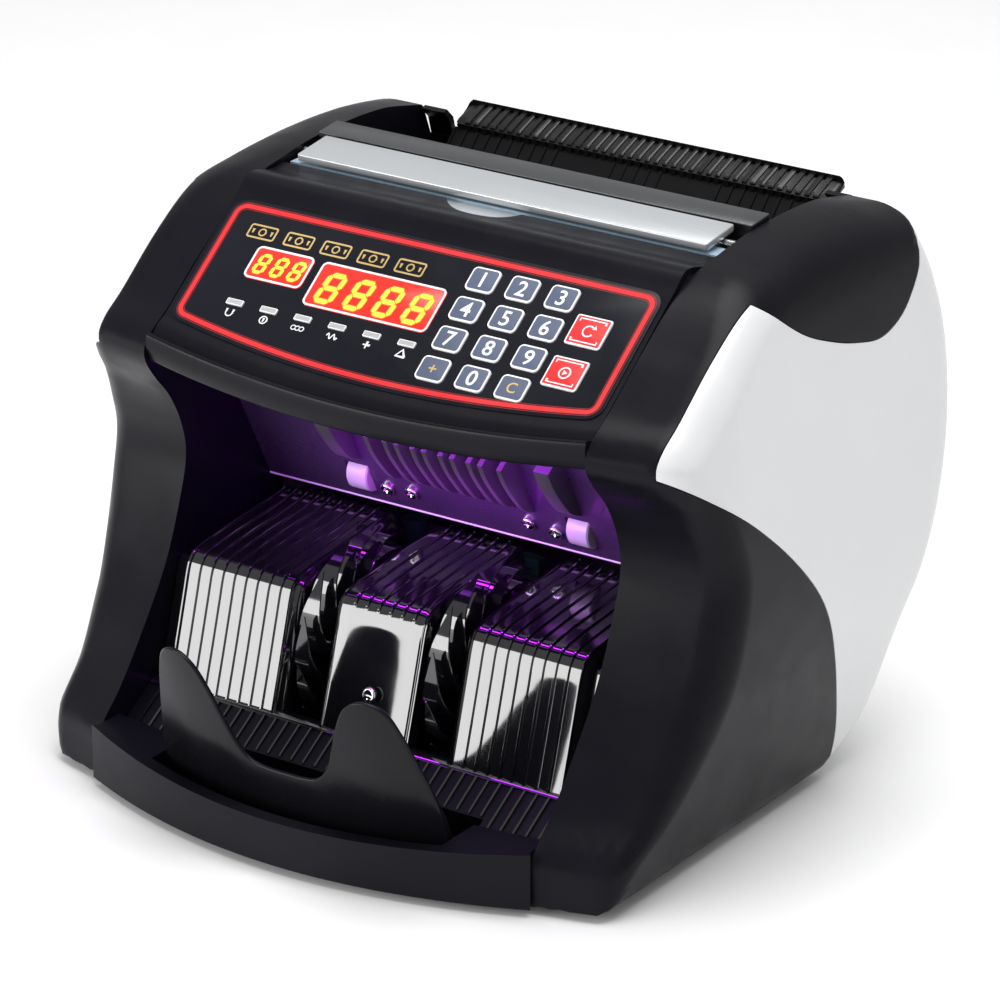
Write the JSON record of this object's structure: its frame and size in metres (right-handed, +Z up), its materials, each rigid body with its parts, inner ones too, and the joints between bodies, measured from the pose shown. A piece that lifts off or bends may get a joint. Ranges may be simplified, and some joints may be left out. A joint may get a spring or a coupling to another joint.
{
  "type": "banknote counting machine",
  "caption": "Desktop banknote counter: sloping keypad with displays above an open stacker with finned wheels and a catcher, ribbed hopper and swing-up gate at the top, moulded side shells.",
  "frame": {"origin": "centre of the bounding box at floor level", "axes": "+Z up, the front with the keypad faces -Y, +X is the right-hand side seen from the front"},
  "size_m": [0.293, 0.263, 0.227],
  "materials": {
    "satin_black": "satin moulded, fine texture",
    "pearl_white": "pearl light-grey lacquer",
    "gloss_black": "polished",
    "soft_rubber": "dull",
    "printed_film": "printed film with a red border",
    "red_display": "tinted window over lit digits",
    "lamp_lens": "frosted",
    "circuit_board": "solder resist",
    "silver_bar": "fine satin",
    "steel": "ground",
    "sheet_steel": "zinc-plated sheet",
    "pale_blue_strip": "translucent",
    "hopper_black": "satin moulded",
    "roller_rubber": "ground rubber",
    "bright_roller": "pale moulded",
    "bearing_bronze": "sintered",
    "pulley_plastic": "moulded",
    "belt_rubber": "toothless flat belt",
    "deflector_black": "smooth moulded",
    "uv_tube": "glowing tube with end caps",
    "inlet_black": "moulded",
    "switch_black": "polished rocker",
    "core_iron": "varnished laminations",
    "bright_screw": "polished",
    "key_blue": "soft-touch with printed frame and digit",
    "key_red": "soft-touch with printed frame"
  },
  "bodies": {
    "housing": {"right_cheek": "satin_black", "left_cheek": "satin_black", "right_side_panel": "pearl_white", "left_side_panel": "pearl_white", "base_tray": "satin_black", "rubber_feet": "soft_rubber", "front_panel": "satin_black", "keypad_overlay": "printed_film", "display_windows": "red_display", "indicator_lenses": "lamp_lens", "control_board": "circuit_board", "gate_hinge_pin": "steel", "gate_light_strip": "pale_blue_strip", "hopper_front_guide": "hopper_black", "feed_tray": "hopper_black", "chassis_left": "sheet_steel", "chassis_right": "sheet_steel", "tie_rods": "steel", "shaft_bearings": "bearing_bronze", "drive_belts": "belt_rubber", "motor_can": "sheet_steel", "stacker_back_plate": "gloss_black", "deflector_plate": "deflector_black", "uv_lamp": "uv_tube", "note_catcher": "gloss_black", "rear_cover": "satin_black", "power_inlet": "inlet_black", "main_board": "circuit_board", "power_transformer": "core_iron", "machine_screws": "bright_screw"},
    "motor": {"motor_rotor": "steel", "motor_pulley": "pulley_plastic"},
    "transport": {"transport_shaft": "steel", "transport_rollers": "roller_rubber", "transport_pulleys": "pulley_plastic"},
    "feed": {"feed_shaft": "steel", "feed_rollers": "roller_rubber", "feed_pulley": "pulley_plastic"},
    "stacker": {"stacker_shaft": "steel", "stacker_wheel_left": "gloss_black", "stacker_wheel_right": "gloss_black", "stacker_pulley": "pulley_plastic"},
    "pinch": {"pinch_rollers": "bright_roller"},
    "gate": {"feed_gate": "silver_bar"},
    "switch": {"power_switch": "switch_black"},
    "knob": {"gap_knob": "inlet_black"},
    "key_1_cap": {"key_1": "key_blue"},
    "key_2_cap": {"key_2": "key_blue"},
    "key_3_cap": {"key_3": "key_blue"},
    "key_4_cap": {"key_4": "key_blue"},
    "key_5_cap": {"key_5": "key_blue"},
    "key_6_cap": {"key_6": "key_blue"},
    "key_7_cap": {"key_7": "key_blue"},
    "key_8_cap": {"key_8": "key_blue"},
    "key_9_cap": {"key_9": "key_blue"},
    "key_0_cap": {"key_0": "key_blue"},
    "key_add_cap": {"key_add": "key_blue"},
    "key_clear_cap": {"key_clear": "key_blue"},
    "key_reset_cap": {"key_reset": "key_red"},
    "key_select_cap": {"key_select": "key_red"}
  },
  "joints": [
    {"name": "key_1_press", "type": "slide", "parent": "housing", "child": "key_1_cap", "axis": [0, 0.6074, -0.7944], "range_m": [0, 0.0008], "stiffness_N_per_m": 400},
    {"name": "key_2_press", "type": "slide", "parent": "housing", "child": "key_2_cap", "axis": [0, 0.6074, -0.7944], "range_m": [0, 0.0008], "stiffness_N_per_m": 400},
    {"name": "key_3_press", "type": "slide", "parent": "housing", "child": "key_3_cap", "axis": [0, 0.6074, -0.7944], "range_m": [0, 0.0008], "stiffness_N_per_m": 400},
    {"name": "key_4_press", "type": "slide", "parent": "housing", "child": "key_4_cap", "axis": [0, 0.6074, -0.7944], "range_m": [0, 0.0008], "stiffness_N_per_m": 400},
    {"name": "key_5_press", "type": "slide", "parent": "housing", "child": "key_5_cap", "axis": [0, 0.6074, -0.7944], "range_m": [0, 0.0008], "stiffness_N_per_m": 400},
    {"name": "key_6_press", "type": "slide", "parent": "housing", "child": "key_6_cap", "axis": [0, 0.6074, -0.7944], "range_m": [0, 0.0008], "stiffness_N_per_m": 400},
    {"name": "key_7_press", "type": "slide", "parent": "housing", "child": "key_7_cap", "axis": [0, 0.6074, -0.7944], "range_m": [0, 0.0008], "stiffness_N_per_m": 400},
    {"name": "key_8_press", "type": "slide", "parent": "housing", "child": "key_8_cap", "axis": [0, 0.6074, -0.7944], "range_m": [0, 0.0008], "stiffness_N_per_m": 400},
    {"name": "key_9_press", "type": "slide", "parent": "housing", "child": "key_9_cap", "axis": [0, 0.6074, -0.7944], "range_m": [0, 0.0008], "stiffness_N_per_m": 400},
    {"name": "key_0_press", "type": "slide", "parent": "housing", "child": "key_0_cap", "axis": [0, 0.6074, -0.7944], "range_m": [0, 0.0008], "stiffness_N_per_m": 400},
    {"name": "key_add_press", "type": "slide", "parent": "housing", "child": "key_add_cap", "axis": [0, 0.6074, -0.7944], "range_m": [0, 0.0008], "stiffness_N_per_m": 400},
    {"name": "key_clear_press", "type": "slide", "parent": "housing", "child": "key_clear_cap", "axis": [0, 0.6074, -0.7944], "range_m": [0, 0.0008], "stiffness_N_per_m": 400},
    {"name": "key_reset_press", "type": "slide", "parent": "housing", "child": "key_reset_cap", "axis": [0, 0.6074, -0.7944], "range_m": [0, 0.0008], "stiffness_N_per_m": 400},
    {"name": "key_select_press", "type": "slide", "parent": "housing", "child": "key_select_cap", "axis": [0, 0.6074, -0.7944], "range_m": [0, 0.0008], "stiffness_N_per_m": 400},
    {"name": "feed_gate_lift", "type": "hinge", "parent": "housing", "child": "gate", "pos_m": [0, 0.033, 0.2203], "axis": [-1, 0, 0], "range_deg": [0, 75]},
    {"name": "motor_spin", "type": "hinge", "parent": "housing", "child": "motor", "pos_m": [0, 0.062, 0.052], "axis": [1, 0, 0], "continuous": true},
    {"name": "transport_spin", "type": "hinge", "parent": "housing", "child": "transport", "pos_m": [0, 0.0248, 0.103], "axis": [1, 0, 0], "continuous": true},
    {"name": "feed_spin", "type": "hinge", "parent": "housing", "child": "feed", "pos_m": [0, 0.06, 0.1288], "axis": [1, 0, 0], "continuous": true},
    {"name": "stacker_spin", "type": "hinge", "parent": "housing", "child": "stacker", "pos_m": [0, -0.029, 0.053], "axis": [1, 0, 0], "continuous": true},
    {"name": "pinch_spin", "type": "hinge", "parent": "housing", "child": "pinch", "pos_m": [0, 0.005, 0.105], "axis": [1, 0, 0], "continuous": true},
    {"name": "power_switch_rock", "type": "hinge", "parent": "housing", "child": "switch", "pos_m": [-0.046, 0.08386, 0.03338], "axis": [-1, 0, 0], "range_deg": [0, 14]},
    {"name": "gap_knob_turn", "type": "hinge", "parent": "housing", "child": "knob", "pos_m": [0, 0.126, 0.16], "axis": [0, 1, 0], "range_deg": [-180, 180]}
  ],
  "couplings": [
    {"joint": "transport_spin", "follows": "motor_spin", "ratio": 0.57143},
    {"joint": "feed_spin", "follows": "motor_spin", "ratio": 0.35714},
    {"joint": "stacker_spin", "follows": "motor_spin", "ratio": 0.38095},
    {"joint": "pinch_spin", "follows": "motor_spin", "ratio": -0.91429}
  ]
}
